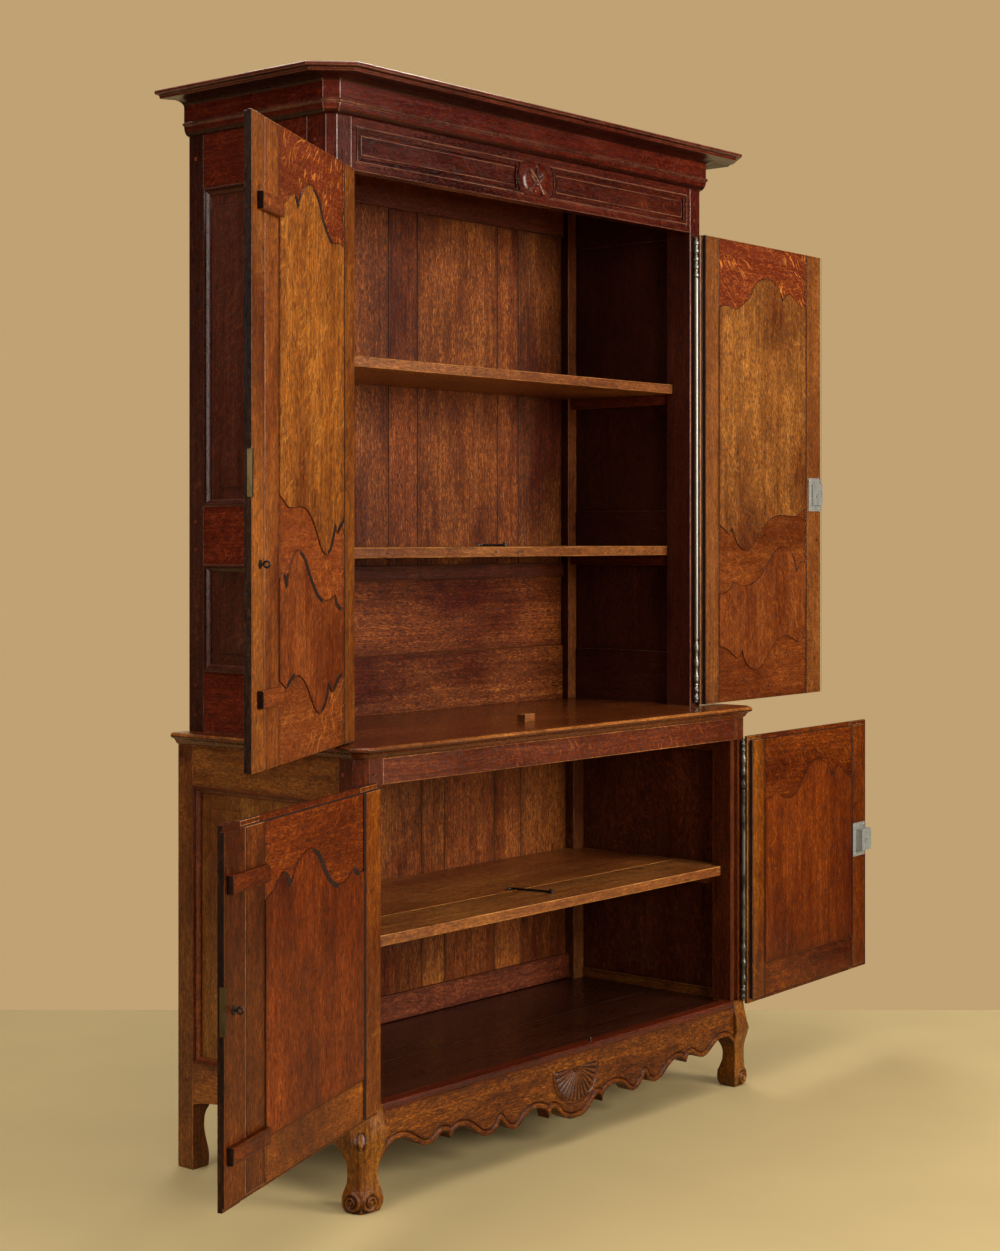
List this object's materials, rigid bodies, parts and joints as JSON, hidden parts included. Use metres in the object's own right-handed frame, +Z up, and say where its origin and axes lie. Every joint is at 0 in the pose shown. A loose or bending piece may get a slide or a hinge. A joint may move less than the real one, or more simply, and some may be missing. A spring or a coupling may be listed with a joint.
{
  "type": "housekeepers cupboard",
  "caption": "Tall two-stage panelled oak cupboard: shelved upper stage on a deeper base with cabriole feet, shaped apron, canted corners, cornice and hinged doors that swing right back.",
  "frame": {"origin": "on the floor, under the middle of the bounding box of the cupboard with its doors open as in the picture; the carcass is centred on x = 0 and its back is 409 mm behind the origin", "axes": "+X along the front, to the right for someone facing the doors; +Y towards the back; +Z up; the doors face -Y"},
  "size_m": [2.6082, 0.8154, 2.3],
  "materials": {
    "oak_polished": "wax polished",
    "oak_door": "satin wax",
    "oak_door_rail": "satin wax",
    "oak_inside": "matt to satin, age darkened",
    "oak_golden": "worn wax",
    "steel": "burnished",
    "iron": "wrought, dark"
  },
  "bodies": {
    "cupboard": {"base_front_posts": "oak_polished", "base_back_posts": "oak_polished", "base_side_rails": "oak_polished", "base_side_panels": "oak_polished", "base_front_rail": "oak_polished", "base_apron": "oak_golden", "base_shell_carving": "oak_golden", "base_back_rails": "oak_inside", "base_back_boards": "oak_inside", "base_floor_boards": "oak_inside", "base_shelf": "oak_golden", "base_shelf_bearers": "oak_inside", "worktop": "oak_golden", "upper_front_posts": "oak_polished", "upper_back_posts": "oak_polished", "upper_side_rails": "oak_polished", "upper_side_panels": "oak_polished", "frieze_rail": "oak_polished", "frieze_mouldings": "oak_polished", "frieze_medallion": "oak_polished", "upper_back_rails": "oak_inside", "upper_back_boards": "oak_inside", "upper_top_board": "oak_inside", "upper_shelf_high": "oak_golden", "upper_shelf_low": "oak_golden", "upper_shelf_bearers": "oak_inside", "cornice": "oak_polished", "door_stop_block": "oak_golden", "tenon_pegs": "oak_inside", "hinge_pins": "steel", "hook_staples": "iron"},
    "upper_left_door": {"upper_left_door_stiles": "oak_door", "upper_left_door_rails": "oak_door_rail", "upper_left_door_panels": "oak_door", "upper_left_door_false_post": "oak_door", "upper_left_door_cleats": "oak_door_rail", "upper_left_door_ironwork": "iron", "upper_left_door_hinge_barrel": "steel"},
    "upper_right_door": {"upper_right_door_stiles": "oak_door", "upper_right_door_rails": "oak_door_rail", "upper_right_door_panels": "oak_door", "upper_right_door_lock_case": "steel", "upper_right_door_hinge_barrel": "steel"},
    "lower_left_door": {"lower_left_door_stiles": "oak_door", "lower_left_door_rails": "oak_door_rail", "lower_left_door_panel": "oak_door", "lower_left_door_false_post": "oak_door", "lower_left_door_cleats": "oak_door_rail", "lower_left_door_ironwork": "iron", "lower_left_door_hinge_barrel": "steel"},
    "lower_right_door": {"lower_right_door_stiles": "oak_door", "lower_right_door_rails": "oak_door_rail", "lower_right_door_panel": "oak_door", "lower_right_door_lock_case": "steel", "lower_right_door_hinge_barrel": "steel"},
    "upper_bolt": {"upper_lock_bolt": "iron"},
    "lower_bolt": {"lower_lock_bolt": "iron"},
    "upper_latch_hook": {"upper_hook": "iron"},
    "lower_latch_hook": {"lower_hook": "iron"}
  },
  "joints": [
    {"name": "upper_left_door_hinge", "type": "hinge", "parent": "cupboard", "child": "upper_left_door", "pos_m": [-0.621, -0.027, 1.5], "axis": [0, 0, 1], "range_deg": [-22, 152.7]},
    {"name": "upper_right_door_hinge", "type": "hinge", "parent": "cupboard", "child": "upper_right_door", "pos_m": [0.621, -0.027, 1.5], "axis": [0, 0, 1], "range_deg": [-181.7, 0]},
    {"name": "lower_left_door_hinge", "type": "hinge", "parent": "cupboard", "child": "lower_left_door", "pos_m": [-0.661, -0.14, 0.53], "axis": [0, 0, 1], "range_deg": [-18, 159.8]},
    {"name": "lower_right_door_hinge", "type": "hinge", "parent": "cupboard", "child": "lower_right_door", "pos_m": [0.661, -0.14, 0.53], "axis": [0, 0, 1], "range_deg": [-183, 0]},
    {"name": "upper_bolt_slide", "type": "slide", "parent": "upper_right_door", "child": "upper_bolt", "axis": [0.9996, 0.0297, 0], "range_m": [-0.003, 0.012]},
    {"name": "lower_bolt_slide", "type": "slide", "parent": "lower_right_door", "child": "lower_bolt", "axis": [0.9986, 0.0523, 0], "range_m": [-0.003, 0.02]},
    {"name": "upper_hook_pivot", "type": "hinge", "parent": "cupboard", "child": "upper_latch_hook", "pos_m": [-0.004, 0.071, 1.333], "axis": [0, 0, 1], "range_deg": [-100, 80]},
    {"name": "lower_hook_pivot", "type": "hinge", "parent": "cupboard", "child": "lower_latch_hook", "pos_m": [0.035, -0.034, 0.545], "axis": [0, 0, 1], "range_deg": [-100, 80]}
  ]
}
